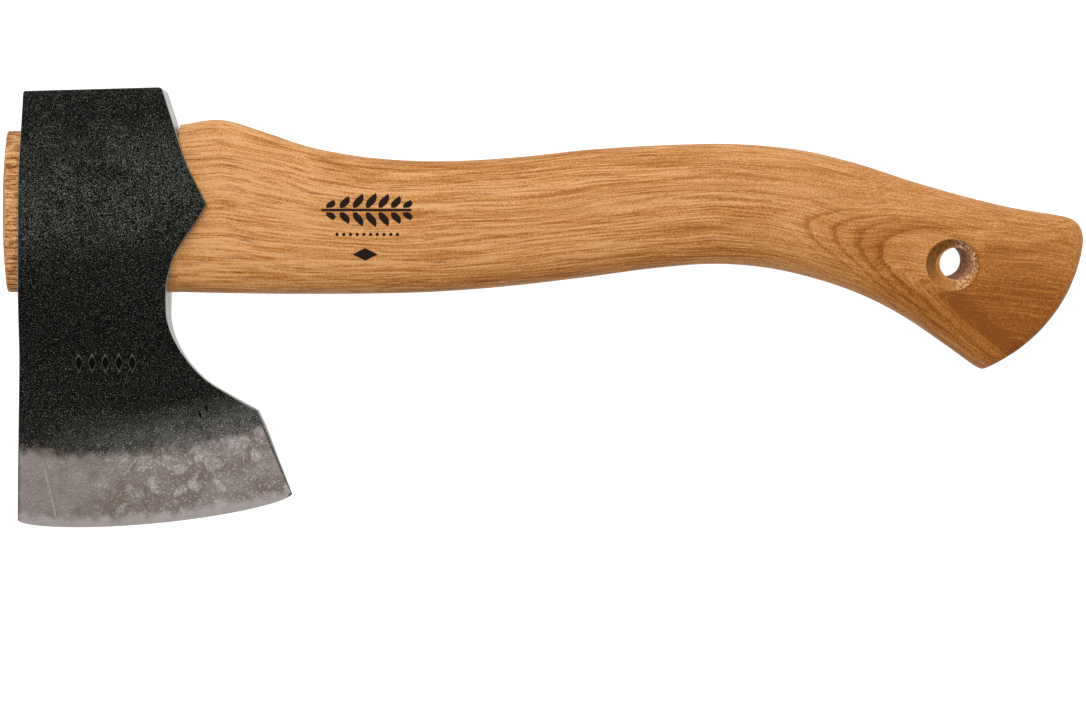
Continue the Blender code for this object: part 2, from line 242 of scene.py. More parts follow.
# Each loop: its layer, how many layers its dark side rises over, and how dark it is
LOOP_BANDS = ((17.0, 0.8, 0.36), (20.0, 1.0, 0.40), (23.0, 1.4, 0.34), (26.0, 1.3, 0.42))
LOOP_FADE = 0.45  # layers that a loop's dark band takes to end
LOOP_BEND_X = 78.0  # where the loops' closed ends start
RING_WIDTH = 2.1  # layers in one year's ring

# Fibres
GRAIN_HEIGHT = 42.0
GRAIN_WAVE = 1.5
KNOB_GRAIN_SLOPE = 0.12
KNOB_GRAIN_X = 100.0
KNOB_GRAIN_Y = 9.0

# Darker parts of the handle: how much darker, and the ranges it comes in over. The zones along the upper
# edge are painted shade; those along the belly are partly the wood's colour and partly painted shade.
BASE_TONE = 0.03
TONE_ZONES = (
    (0.12, ("x", -110.0, 0.0)),
    (0.09, ("x", 20.0, 110.0)),
    (0.05, ("x", 84.0, 96.0)),
    # partly painted shade: darker along the belly, partly the wood's colour
    (0.18, ("above_belly", 9.0, 2.0), ("x", 110.0, 40.0)),
    (0.12, ("above_belly", 14.0, 6.0), ("x", 92.0, 112.0)),
    # painted shade along the upper edge
    (0.06, ("below_back", 9.0, 2.0), ("x", -70.0, -45.0), ("x", 40.0, 10.0)),
    (0.12, ("below_back", 11.0, 3.0), ("x", -110.0, -70.0), ("x", 70.0, 40.0)),
    (0.04, ("depth", 18.0, 22.0), ("x", 90.0, 100.0)),
    (0.20, ("depth", 20.5, 25.5), ("depth", 27.2, 26.0), ("x", 150.0, 125.0)),
    (0.20, ("depth", 25.6, 27.4), ("y", 13.0, 3.0)),
    (0.27, ("depth", 29.3, 30.7), ("x", 130.0, 142.0), ("x", 186.0, 160.0)),
)

# Dark bands: how much darker, the measure with its middle and spread, and the ranges
TONE_BANDS = (
    # partly painted shade along the belly, partly the wood's colour
    (0.09, ("x", 0.0, 45.0), (("above_belly", 9.0, 2.0), ("x", 110.0, 40.0))),
    (0.58, ("depth", 30.4, 1.2), (("y", 8.0, 1.0), ("y", -20.0, -11.0))),
    (0.24, ("depth", 30.0, 0.5), (("x", 143.0, 147.0), ("x", 174.0, 160.0), ("y", 10.0, 14.0))),
)

# Mark burnt into the upper side
SPRIG_CENTRE = (-57.8, 31.6)
SPRIG_LENGTH = 29.5
SPRIG_HALF_HEIGHT = 5.8
STEM_HALF = 0.43
LEAF_PITCH = 4.2
LEAF_PAIRS = 7
LEAF_LEAN = 0.55
LEAF_HALF_WIDTH = 0.37  # as a share of the pitch
LEAF_SHORTENING = 0.045  # from one pair to the next, as a share of the middle pair's height
DOT_ROW = (-57.5, 23.6)
DOT_PITCH = 2.2
DOT_RADIUS = 0.57
LOZENGE = (-58.2, 17.1)
LOZENGE_HALF = (4.2, 2.1)

# Colours, linear
BLACK_SCALE = (0.0008, 0.001, 0.0004)
SCALE_SPECKLE = (0.205, 0.206, 0.18)
WORN_SCALE = (0.07, 0.066, 0.06)
WORN_SPECKLE = (0.4, 0.385, 0.365)
# painted shade for the floors of the stamps and dents
PAINTED_STAMP_SHADE = (0.0008, 0.0008, 0.0006)
STAMP_RIM = (0.15, 0.15, 0.13)
BEVEL_STEEL = ((0.29, 0.226, 0.19), (0.415, 0.36, 0.338))
BEVEL_BLOT = (0.7, 0.64, 0.62)
BEVEL_GRIT = (0.12, 0.1, 0.085)
# painted glint colour
PAINTED_BEVEL_GLINT = (0.74, 0.69, 0.67)
EDGE_STEEL = ((0.44, 0.4, 0.385), (0.76, 0.69, 0.67))
SCRATCH_STEEL = (0.8, 0.76, 0.73)
WALL_STEEL = ((0.22, 0.208, 0.2), (0.33, 0.317, 0.308))
WOOD_COLOURS = (
    (0.0, (0.82, 0.425, 0.172)),
    (0.3, (0.63, 0.275, 0.076)),
    (0.6, (0.45, 0.16, 0.024)),
    (1.0, (0.255, 0.07, 0.005)),
)
SPLIT_WOOD = (1.0, 0.72, 0.4)
PORE_WOOD = (0.15, 0.045, 0.008)
# countersink walls: painted lit colour, then painted shade colour
SINK_WOOD_LIT_AND_SHADED = ((0.56, 0.24, 0.06), (0.12, 0.038, 0.005))
BORE_WOOD = (0.56, 0.265, 0.12)
# pale torn fibres, partly painted highlights
TORN_WOOD_AND_GLINTS = (1.0, 0.76, 0.54)
GOUGED_WOOD = (0.045, 0.016, 0.006)
# painted shade round the countersink's rim
SINK_RIM_SHADE = (0.1, 0.038, 0.01)
BURNT_WOOD = (0.007, 0.003, 0.002)
WEDGE_WOOD = ((0.62, 0.4, 0.2), (0.3, 0.15, 0.055))
WEDGE_STEEL = ((0.2, 0.19, 0.18), (0.36, 0.34, 0.33))

# Studio, in metres
FLOOR_SIZE = 12.0
FLOOR_GLOW = 0.94
FLOOR_GREY = (0.5, 0.5, 0.5)
WHITE = (1.0, 1.0, 1.0)
WORLD_LEVEL = 0.57
WORLD_SLOPE = (0.0, 0.24, 0.18)  # how much brighter it is towards each axis
KEY_PLACE = (-0.10, 0.70, 1.20)
KEY_SIZE = 1.0
KEY_WATTS = 6.5


def add_to_scene(name, data):
    thing = bpy.data.objects.new(name, data)
    bpy.context.scene.collection.objects.link(thing)
    return thing


def new_object(name, points, faces):
    """An object in metres from points in millimetres about the middle plane."""
    mesh = bpy.data.meshes.new(name)
    raised = np.asarray(points, float) + (0.0, 0.0, MID_HEIGHT)
    mesh.from_pydata([tuple(p) for p in raised * MM], [], faces)
    bm = bmesh.new()
    bm.from_mesh(mesh)
    bmesh.ops.remove_doubles(bm, verts=bm.verts, dist=1e-7)
    bmesh.ops.recalc_face_normals(bm, faces=bm.faces)
    bm.to_mesh(mesh)
    bm.free()
    return add_to_scene(name, mesh)


def skin(rings, cap_end=True):
    """Points and faces of a closed tube through equal rings, with flat caps."""
    count = len(rings[0])
    points = [tuple(point) for ring in rings for point in ring]
    faces = []
    for row in range(len(rings) - 1):
        for step in range(count):
            near = row * count + step
            following = row * count + (step + 1) % count
            faces.append((near, following, following + count, near + count))
    faces.append(tuple(range(count))[::-1])
    if cap_end:
        faces.append(tuple(range(len(points) - count, len(points))))
    return points, faces


def skin_ruled(rings):
    """Like skin, but with caps of strips between a ring's mirrored halves."""
    points, faces = skin(rings, cap_end=False)
    faces.pop()
    count = len(rings[0])
    for first in (0, len(points) - count):
        for step in range(count // 2):
            corners = dict.fromkeys((step, step + 1, count - step - 1, (count - step) % count))
            faces.append(tuple(first + corner for corner in corners))
    return points, faces


def cut_all(thing, cutters, operation="DIFFERENCE"):
    """Cuts the object by the cutters, which are used up."""
    for cutter in cutters:
        modifier = thing.modifiers.new("cut", "BOOLEAN")
        modifier.operation = operation
        modifier.solver = "EXACT"
        modifier.object = cutter
    depsgraph = bpy.context.evaluated_depsgraph_get()
    mesh = bpy.data.meshes.new_from_object(thing.evaluated_get(depsgraph))
    thing.modifiers.clear()
    old = thing.data
    thing.data = mesh
    bpy.data.meshes.remove(old)
    for cutter in cutters:
        bpy.data.objects.remove(cutter)


def smooth_shade(thing, degrees):
    thing.data.shade_smooth()
    thing.data.set_sharp_from_angle(angle=math.radians(degrees))


def dress(thing, material):
    thing.data.materials.clear()
    thing.data.materials.append(material)
    return thing


def points_of(thing):
    """The mesh's points in millimetres, with z from the middle plane."""
    flat = np.empty(len(thing.data.vertices) * 3, np.float32)
    thing.data.vertices.foreach_get("co", flat)
    return flat.reshape(-1, 3).astype(float) / MM - (0.0, 0.0, MID_HEIGHT)


def store(thing, name, values):
    """Keeps a number or a vector for each point."""
    values = np.asarray(values, np.float32)
    vector = values.ndim == 2
    layer = thing.data.attributes.new(name, "FLOAT_VECTOR" if vector else "FLOAT", "POINT")
    layer.data.foreach_set("vector" if vector else "value", values.ravel())


def smoothstep(low, high, values):
    """The values' range low..high eased onto 0..1, where low may be the greater."""
    share = np.clip((values - low) / (high - low), 0.0, 1.0)
    return share * share * (3.0 - 2.0 * share)


def hermite(t, start, end, slope_start, slope_end):
    rise = end - start
    return start + t * (slope_start + t * (3.0 * rise - 2.0 * slope_start - slope_end
                                           + t * (slope_start + slope_end - 2.0 * rise)))


def even_slopes(values, creases=()):
    """Slopes at each row for a curve that never overshoots, one-sided at the creased rows."""
    steps = np.diff(values, axis=0)
    before = np.vstack([steps[:1], steps])
    after = np.vstack([steps, steps[-1:]])
    product = before * after
    total = np.where(product > 0.0, before + after, 1.0)
    even = np.where(product > 0.0, 2.0 * product / total, 0.0)
    arriving, leaving = even.copy(), even.copy()
    for row in (0, *creases, len(values) - 1):
        arriving[row] = before[row]
        leaving[row] = after[row]
    return arriving, leaving


def signed_power(values, power):
    return np.sign(values) * np.abs(values) ** power


def section_ring(section, count=RING_POINTS):
    """One section of the handle, from its top round the front to its bottom and back."""
    top_x, top_y, bottom_x, bottom_y, half_width, roundness, bulge = section
    angles = 2.0 * np.pi * np.arange(count) / count
    along = signed_power(np.cos(angles), 2.0 / roundness)
    across = signed_power(np.sin(angles), 2.0 / roundness)
    half_x = (top_x - bottom_x) / 2.0
    half_y = (top_y - bottom_y) / 2.0
    length = math.hypot(half_x, half_y)
    lift = bulge * (1.0 - along * along)
    x = (top_x + bottom_x) / 2.0 + half_x * along + half_y / length * lift
    y = (top_y + bottom_y) / 2.0 + half_y * along - half_x / length * lift
    return np.column_stack([x, y, half_width * across])


def dense_head_rows():
    """The head's rows with many more between them, and a rounded start at the poll face."""
    arriving, leaving = even_slopes(HEAD_ROWS, CREASED_ROWS)
    dense = []
    for row in range(len(HEAD_ROWS) - 1):
        start, end = HEAD_ROWS[row], HEAD_ROWS[row + 1]
        reach = max(np.hypot(*(end[0:2] - start[0:2])), np.hypot(*(end[2:4] - start[2:4])))
        steps = max(2, round(reach / ROW_STEP))
        for step in range(steps):
            dense.append(hermite(step / steps, start, end, leaving[row], arriving[row + 1]))
    dense.append(HEAD_ROWS[-1])
    poll = []
    fall = (HEAD_ROWS[1] - HEAD_ROWS[0]) / np.hypot(*(HEAD_ROWS[1, 0:2] - HEAD_ROWS[0, 0:2]))
    for step in range(ARC_STEPS):
        angle = 0.5 * math.pi * step / ARC_STEPS
        shrink = POLL_RADIUS * (1.0 - math.sin(angle))
        values = HEAD_ROWS[0] + fall * POLL_RADIUS * (1.0 - math.cos(angle))
        values[0] += shrink
        values[2] -= shrink
        values[6] -= shrink
        poll.append(values)
    rounded = [values for values in dense if values[1] < HEAD_ROWS[0, 1] - POLL_RADIUS]
    return poll + rounded


def row_point(values, inset_share):
    """x and y on a row at shares of its length from the left end."""
    left_x, left_y, right_x, right_y, sag, roundness = values[:6]
    share = np.clip(inset_share, 0.0, 1.0)
    x = left_x + (right_x - left_x) * share
    y = left_y + (right_y - left_y) * share - sag * (4.0 * share * (1.0 - share)) ** roundness
    return x, y


def head_ring(values):
    """One row's ring: the upper cheek, the right wall, the lower cheek and the left wall."""
    half = values[6]
    length = np.hypot(values[2] - values[0], values[3] - values[1])
    left = min(LEFT_RADIUS, 0.8 * half)
    right = min(values[7], 0.8 * half)
    arc = 0.5 * np.pi * np.arange(ARC_STEPS + 1) / ARC_STEPS
    columns = np.linspace(left, length - right, HEAD_COLUMNS + 1)[1:-1]
    wall_left = np.linspace(0.0, half - left, WALL_STEPS // 2 + 1)[:-1]
    wall_right = np.linspace(half - right, 0.0, WALL_STEPS // 2 + 1)[1:]
    inset = np.concatenate([
        np.zeros(len(wall_left)),
        left * (1.0 - np.cos(arc)),
        columns,
        length - right * (1.0 - np.sin(arc)),
        np.full(len(wall_right), length),
    ])
    height = np.concatenate([
        wall_left,
        half - left + left * np.sin(arc),
        np.full(len(columns), half),
        half - right + right * np.cos(arc),
        wall_right,
    ])
    x, y = row_point(values, inset / length)
    upper = np.column_stack([x, y, height])
    lower = upper[-2:0:-1] * (1.0, 1.0, -1.0)
    return np.vstack([upper, lower])


def line_y(row, x):
    """Height of a head row's line above each x."""
    values = HEAD_ROWS[row]
    share = np.clip((x - values[0]) / (values[2] - values[0]), 0.0, 1.0)
    return row_point(values, share)[1]


def forge_unevenness(points):
    """Moves the black cheeks up and down a little, as a hammer leaves them."""
    moved = points.copy()
    calm = smoothstep(-50.0, -38.0, points[:, 1]) * smoothstep(0.0, 3.0, np.abs(points[:, 2]))
    for index, (x, y, z) in enumerate(points):
        if calm[index] <= 0.0:
            continue
        broad = Vector((x / FORGE_BROAD, y / FORGE_BROAD, math.copysign(3.0, z)))
        fine = Vector((x / FORGE_FINE, y / FORGE_FINE, math.copysign(9.0, z)))
        wave = noise.noise(broad) + 0.35 * noise.noise(fine) - 0.6
        moved[index, 2] += math.copysign(FORGE_WAVE * wave * calm[index], z)
    return moved


def pressed_cutters(tree):
    """Shallow lozenges in the upper cheek: the stamped row and the forging dents."""
    first_x = STAMP_CENTRE[0] - (STAMP_COUNT - 1) / 2.0 * STAMP_PITCH
    row = [(first_x + number * STAMP_PITCH, STAMP_CENTRE[1]) for number in range(STAMP_COUNT)]
    places = [(*stamp, STAMP_HALF, 0.0) for stamp in row]
    places += [(*dent, DENT_HALF, DENT_LEAN) for dent in DENTS]
    corners = np.array([(0.0, 1.0), (1.0, 0.0), (0.0, -1.0), (-1.0, 0.0)])
    outline = np.vstack([np.linspace(corners[step], corners[(step + 1) % 4], 5)[:-1] for step in range(4)])
    cutters = []
    for x, y, half, lean in places:
        shape = outline * half
        shape[:, 0] += lean * shape[:, 1]
        cheek = cheek_height(tree, *(shape + (x, y)).T)
        floor = np.column_stack([shape * STAMP_FLOOR + (x, y), cheek - STAMP_DEPTH])
        outer = 1.0 + (1.0 - STAMP_FLOOR) * STAMP_OVERSHOOT / STAMP_DEPTH
        roof = np.column_stack([shape * outer + (x, y), cheek + STAMP_OVERSHOOT])
        cutters.append(new_object("press_cutter", *skin([floor, roof])))
    return cutters


def cheek_height(tree, x, y):
    """Height of the uncut upper cheek over each point, and nothing beside the head."""
    starts = [Vector((px, py, 100.0)) for px, py in zip(x, y)]
    hits = [tree.ray_cast(start, Vector((0.0, 0.0, -1.0)))[0] for start in starts]
    return np.array([-100.0 if hit is None else hit.z for hit in hits])


def make_head():
    rings = [head_ring(values) for values in dense_head_rows()]
    points, faces = skin(rings, cap_end=False)
    points = forge_unevenness(np.array(points))
    tree = BVHTree.FromPolygons([tuple(point) for point in points], [tuple(face) for face in faces])
    head = new_object("forged_head", points, faces)
    eye_rings = []
    for x in EYE_CUTTER_X:
        section = (x, EYE_HIGH_Y, x, EYE_LOW_Y, EYE_HALF_WIDTH, EYE_ROUNDNESS, 0.0)
        eye_rings.append(section_ring(section, EYE_SIDES))
    cut_all(head, [new_object("eye_cutter", *skin(eye_rings)), *pressed_cutters(tree)])
    smooth_shade(head, degrees=32)
    x, y, z = points_of(head).T
    pressed = cheek_height(tree, x, y) - z
    store(head, "pressed", pressed * (pressed > 0.0) * (pressed < STAMP_DEPTH + STAMP_MARGIN) * (z > 0.0))
    store(head, "below_bevel_line", line_y(BEVEL_ROW, x) - y)
    store(head, "above_edge", y - line_y(len(HEAD_ROWS) - 1, x))
    return dress(head, forged_steel_material())


def dense_sections():
    arriving, leaving = even_slopes(HANDLE_SECTIONS)
    smooth = (HANDLE_SECTIONS[2:] - HANDLE_SECTIONS[:-2]) / 2.0
    arriving[1:-1] = smooth
    leaving[1:-1] = smooth
    dense = []
    for index in range(len(HANDLE_SECTIONS) - 1):
        start, end = HANDLE_SECTIONS[index], HANDLE_SECTIONS[index + 1]
        steps = max(3, round(SECTION_STEPS * min(1.0, (end[0] - start[0]) / 18.0)))
        for step in range(steps):
            dense.append(hermite(step / steps, start, end, leaving[index], arriving[index + 1]))
    dense.append(HANDLE_SECTIONS[-1])
    return dense


def tongue_sections():
    """The straight tongue, with a domed end that has a small rounded corner."""
    half = EYE_HALF_WIDTH - TONGUE_FIT
    found = []
    for share in TONGUE_DOME_SHARES:
        reach = share * (1.0 - TONGUE_RADIUS / half)
        found.append((TONGUE_END_X + TONGUE_DOME * reach ** 2, half * (1.0 - reach)))
    for step in range(TONGUE_CORNER_STEPS + 1):
        angle = 0.5 * math.pi * step / TONGUE_CORNER_STEPS
        x = TONGUE_END_X + TONGUE_DOME + TONGUE_RADIUS * (1.0 - math.cos(angle))
        found.append((x, TONGUE_RADIUS * (1.0 - math.sin(angle))))
    start = TONGUE_END_X + TONGUE_DOME + TONGUE_RADIUS + TONGUE_STEP
    straight = np.arange(start, TONGUE_ROOT_X, TONGUE_STEP)
    found += [(x, 0.0) for x in straight] + [(TONGUE_ROOT_X, 0.0)]
    middle = (EYE_HIGH_Y + EYE_LOW_Y) / 2.0
    tall = (EYE_HIGH_Y - EYE_LOW_Y) / 2.0 - TONGUE_FIT
    sections = []
    for x, inset in found:
        if inset <= TONGUE_RADIUS:
            rise, width = tall - inset, half - inset
        else:
            rise, width = (tall - TONGUE_RADIUS) * (1.0 - inset / half), half - inset
        sections.append((x, middle + rise, x, middle - rise, width, EYE_ROUNDNESS, 0.0))
    return sections


def disc_stack(rings):
    """A closed solid over level circles, each given by centre x, y, height z and radius."""
    angles = 2.0 * np.pi * np.arange(HOLE_SIDES) / HOLE_SIDES
    found = []
    for x, y, z, radius in rings:
        found.append(np.column_stack([x + radius * np.cos(angles), y + radius * np.sin(angles),
                                      np.full(HOLE_SIDES, z)]))
    return skin(found)


def hang_hole_cutters():
    """The leaning bore, and the two countersinks that open it out at the knob's faces."""
    bore = []
    for z in (BORE_REACH, -BORE_REACH):
        bore.append((BORE_MIDDLE[0] - BORE_LEAN[0] * z, BORE_MIDDLE[1] - BORE_LEAN[1] * z, z, BORE_RADIUS))
    cutters = [new_object("bore_cutter", *disc_stack(bore))]
    for centre, facing in ((SINK_TOP_CENTRE, 1.0), (SINK_BOTTOM_CENTRE, -1.0)):
        sink = [
            (*centre, facing * (KNOB_HALF + OVERSHOOT), SINK_RADIUS + SINK_SLOPE * OVERSHOOT),
            (*centre, facing * KNOB_HALF, SINK_RADIUS),
            (*centre, facing * (KNOB_HALF - 0.5 * SINK_DEPTH), SINK_RADIUS - 0.5 * SINK_DEPTH * SINK_SLOPE),
            (*centre, facing * (KNOB_HALF - SINK_DEPTH), BORE_RADIUS - 0.2),
        ]
        cutters.append(new_object("sink_cutter", *disc_stack(sink)))
    return cutters


def wedge_block(depth, half_end, half_tip, low, high, gap, overshoot, turn=0.0, centre_y=0.0):
    """A wedge along X, thick at the tongue's end, made larger by the gap and longer by the overshoot."""
    thick_end = half_end + (half_end - half_tip) / depth * overshoot
    points = []
    for x, half in ((-overshoot, thick_end + gap), (depth + gap, half_tip + gap)):
        for wide, thick in ((low, -half), (high, -half), (high, half), (low, half)):
            y = wide * math.cos(turn) - thick * math.sin(turn) + centre_y
            z = wide * math.sin(turn) + thick * math.cos(turn)
            points.append((TONGUE_END_X + x, y, z))
    faces = [(0, 1, 2, 3), (7, 6, 5, 4)]
    faces += [(step, step + 4, (step + 1) % 4 + 4, (step + 1) % 4) for step in range(4)]
    return points, faces


def kerf_block(gap, overshoot):
    low, high = EYE_LOW_Y - overshoot, EYE_HIGH_Y + overshoot
    return wedge_block(WEDGE_DEPTH, WEDGE_HALF_END, WEDGE_HALF_TIP, low, high, gap, overshoot)


def steel_block(gap, overshoot):
    half_wide = STEEL_WEDGE_WIDTH / 2.0 + gap
    return wedge_block(
        STEEL_WEDGE_DEPTH, STEEL_WEDGE_HALF_END, STEEL_WEDGE_HALF_TIP, -half_wide, half_wide,
        gap, overshoot, math.pi / 2.0 - STEEL_WEDGE_TURN, (EYE_LOW_Y + EYE_HIGH_Y) / 2.0,
    )


def outlines(x):
    """Lower and upper outline of the handle at each x."""
    low_x = np.append(HANDLE_SECTIONS[:17, 2], 180.0)
    low_y = np.append(HANDLE_SECTIONS[:17, 3], -42.0)
    return np.interp(x, low_x, low_y), np.interp(x, HANDLE_SECTIONS[:, 0], HANDLE_SECTIONS[:, 1])


def grip_layers(x, y):
    belly = BELLY_GROWTH * (y - np.interp(x, *BELLY_LINE))
    level = np.interp(x, *LEVEL_LINE) - y
    lowest = np.minimum(belly, level)
    rest = np.exp((lowest - belly) / LAYER_SOFTNESS) + np.exp((lowest - level) / LAYER_SOFTNESS)
    return lowest - LAYER_SOFTNESS * np.log(rest)


def plate_bend(squared):
    return 0.5 * squared * np.log(np.maximum(squared, 1e-9))


def knob_layers(x, y):
    """A smooth plate bent through the knob's layers and tied to the grip's."""
    knots = [(*point, level) for level, points in KNOB_LAYERS for point in points]
    for tie_x in LAYER_TIES_X:
        low, high = outlines(tie_x)
        for tie_y in np.linspace(low, high, LAYER_TIES):
            knots.append((tie_x, tie_y, float(grip_layers(tie_x, tie_y))))
    knots = np.array(knots)
    count = len(knots)
    between = ((knots[:, None, :2] - knots[None, :, :2]) ** 2).sum(2)
    plane = np.column_stack([np.ones(count), knots[:, :2]])
    system = np.zeros((count + 3, count + 3))
    system[:count, :count] = plate_bend(between) + LAYER_STIFFNESS * np.eye(count)
    system[:count, count:] = plane
    system[count:, :count] = plane.T
    weights = np.linalg.solve(system, np.append(knots[:, 2], np.zeros(3)))
    found = weights[count] + weights[count + 1] * x + weights[count + 2] * y
    for (knot_x, knot_y, _), weight in zip(knots, weights[:count]):
        found = found + weight * plate_bend((x - knot_x) ** 2 + (y - knot_y) ** 2)
    return found


def wood_layers(points):
    """How deep in the wood's layers each point lies."""
    x, y, _ = points.T
    knob = smoothstep(*KNOB_START, x)
    return grip_layers(x, y) * (1.0 - knob) + knob_layers(x, y) * knob


def wood_tone_and_painted_shade(points, depth):
    """How dark the wood is, from 0 to 1: darker to the knob, along the belly and beyond the hole, with
    painted shade along the upper edge and partly painted shade along the belly.
    """
    x, y, _ = points.T
    low, high = outlines(x)
    measures = {"x": x, "y": y, "above_belly": y - low, "below_back": high - y, "depth": depth}

    def within(ranges):
        return np.prod([smoothstep(start, end, measures[name]) for name, start, end in ranges], axis=0)

    tone_and_painted_shade = BASE_TONE + sum(amount * within(ranges) for amount, *ranges in TONE_ZONES)
    for amount, (name, middle, spread), ranges in TONE_BANDS:
        tone_and_painted_shade += amount * np.exp(-((measures[name] - middle) / spread) ** 2) * within(ranges)
    return np.clip(tone_and_painted_shade, 0.0, 1.0)


def loop_strength(x, depth):
    """How clearly the loops show, from 0 to 1: best round their closed ends."""
    past_bend = (x - LOOP_BEND_X - 1.25 * (depth - 14.0).clip(0.0)).clip(0.0)
    return smoothstep(72.0, 84.0, x) * (0.30 + 0.70 * np.exp(-(past_bend / 26.0) ** 2))


def across_fibres(x, y):
    """How far across the fibres each point is, which follow the outlines and run level on the knob."""
    low, high = outlines(x)
    waves = []
    for px, py in zip(x, y):
        broad = noise.noise(Vector((px / 40.0, py / 14.0, 1.0)))
        waves.append(broad + 0.3 * noise.noise(Vector((px / 16.0, py / 8.0, 4.0))))
    on_grip = GRAIN_HEIGHT * (y - low) / (high - low)
    on_knob = y + KNOB_GRAIN_SLOPE * (x - KNOB_GRAIN_X) - KNOB_GRAIN_Y
    knob = smoothstep(96.0, 116.0, x) * smoothstep(6.0, 16.0, y - low)
    return on_grip * (1.0 - knob) + on_knob * knob + GRAIN_WAVE * np.array(waves)


def make_handle():
    sections = tongue_sections() + dense_sections()
    points, faces = skin_ruled([section_ring(section) for section in sections])
    handle = new_object("wooden_handle", points, faces)
    cutters = hang_hole_cutters()
    cutters.append(new_object("kerf_cutter", *kerf_block(WEDGE_FIT, OVERSHOOT)))
    cutters.append(new_object("steel_cutter", *steel_block(WEDGE_FIT, OVERSHOOT)))
    cut_all(handle, cutters)
    smooth_shade(handle, degrees=40)
    final = points_of(handle)
    depth = wood_layers(final)
    x, y, z = final.T
    store(handle, "grain", np.column_stack([x, across_fibres(x, y), z]))
    store(handle, "rings", depth + RING_SLANT * (np.abs(z) - KNOB_HALF))
    store(handle, "loop_strength", loop_strength(x, depth))
    store(handle, "tone_and_painted_shade", wood_tone_and_painted_shade(final, depth))
    return dress(handle, handle_wood_material())


def make_wedge(name, block):
    """A wedge without what would stand out of the tongue's domed end."""
    wedge = new_object(name, *block)
    trim = new_object("trim", *skin_ruled([section_ring(section) for section in tongue_sections()]))
    cut_all(wedge, [trim], "INTERSECT")
    return wedge


def make_wood_wedge():
    wedge = make_wedge("kerf_wedge", kerf_block(0.0, 0.0))
    cut_all(wedge, [new_object("slot_cutter", *steel_block(WEDGE_FIT, OVERSHOOT))])
    smooth_shade(wedge, degrees=30)
    store(wedge, "grain", points_of(wedge))
    return dress(wedge, wedge_wood_material())


def make_steel_wedge():
    wedge = make_wedge("cross_wedge", steel_block(0.0, 0.0))
    smooth_shade(wedge, degrees=30)
    return dress(wedge, wedge_steel_material())


class Look:
    """The nodes of a material or a world."""

    def __init__(self, name, library=bpy.data.materials, shader="Principled BSDF"):
        self.owner = library.new(name)
        self.owner.use_nodes = True
        self.tree = self.owner.node_tree
        self.shader = self.tree.nodes[shader]

    def feed(self, socket, value):
        if isinstance(value, bpy.types.NodeSocket):
            self.tree.links.new(value, socket)
        else:
            socket.default_value = (*value, 1.0) if socket.type == "RGBA" else value

    def set(self, **values):
        for key, value in values.items():
            self.feed(self.shader.inputs[key.replace("_", " ")], value)

    def node(self, kind, inputs, output=0, **settings):
        """An output of a new node."""
        made = self.tree.nodes.new("ShaderNode" + kind)
        for key, value in settings.items():
            setattr(made, key, value)
        for key, value in inputs.items():
            self.feed(made.inputs[key], value)
        return made.outputs[output]

    def math(self, operation, *values):
        return self.node("Math", dict(enumerate(values)), operation=operation)

    def fold(self, operation, first, *others):
        for other in others:
            first = self.math(operation, first, other)
        return first

    def times(self, *values):
        return self.fold("MULTIPLY", *values)

    def total(self, *values):
        return self.fold("ADD", *values)

    def largest(self, *values):
        return self.fold("MAXIMUM", *values)

    def minus(self, first, second):
        return self.math("SUBTRACT", first, second)

    def away(self, value, middle=None):
        """How far the value is from the middle, or from 0."""
        return self.math("ABSOLUTE", value if middle is None else self.minus(value, middle))

    def distance(self, across, along):
        squares = self.total(self.math("POWER", across, 2.0), self.math("POWER", along, 2.0))
        return self.math("SQRT", squares)

    def vectors(self, operation, first, second, output="Vector"):
        return self.node("VectorMath", {0: first, 1: second}, output, operation=operation)

    def parts(self, vector):
        return self.node("SeparateXYZ", {0: vector}).node.outputs[:3]

    def position(self):
        """The point in millimetres in the model's frame."""
        point = self.node("TexCoord", {}, "Object")
        return self.vectors("MULTIPLY", point, (1.0 / MM, 1.0 / MM, 1.0 / MM))

    def level(self, normal):
        """1 where the surface faces straight up or down, 0 where it is upright."""
        return self.away(self.parts(self.node("NewGeometry", {}, normal))[2])

    def attribute(self, name, output="Fac"):
        return self.node("Attribute", {}, output, attribute_name=name)

    def noise(self, vector, scale, detail, roughness):
        """Noise with a scale for each millimetre, or one for each axis."""
        if isinstance(scale, tuple):
            vector, scale = self.vectors("MULTIPLY", vector, scale), 1.0
        inputs = {"Vector": vector, "Scale": scale, "Detail": detail, "Roughness": roughness}
        return self.node("TexNoise", inputs)

    def bent(self, vector, scale, amount):
        """The vector pushed about smoothly."""
        push = self.node("TexNoise", {"Vector": vector, "Scale": scale, "Detail": 0.0}, "Color")
        return self.vectors("ADD", vector, self.vectors("MULTIPLY", push, (amount, amount, amount)))

    def span(self, value, low, high, out_low=0.0, out_high=1.0):
        """The value's range low..high eased onto out_low..out_high, where low may be the greater."""
        inputs = {"Value": value, "From Min": low, "From Max": high, "To Min": out_low, "To Max": out_high}
        return self.node("MapRange", inputs, interpolation_type="SMOOTHSTEP")

    def mix(self, share, first, second):
        return self.node("Mix", {"Factor": share, 6: first, 7: second}, 2, data_type="RGBA")

    def ramp(self, value, stops):
        colour = self.node("ValToRGB", {0: value})
        elements = colour.node.color_ramp.elements
        while len(elements) < len(stops):
            elements.new(0.5)
        for element, (position, shade) in zip(elements, stops):
            element.position = position
            element.color = (*shade, 1.0)
        return colour

    def bump(self, height, strength, distance):
        return self.node("Bump", {"Height": height, "Strength": strength, "Distance": distance})


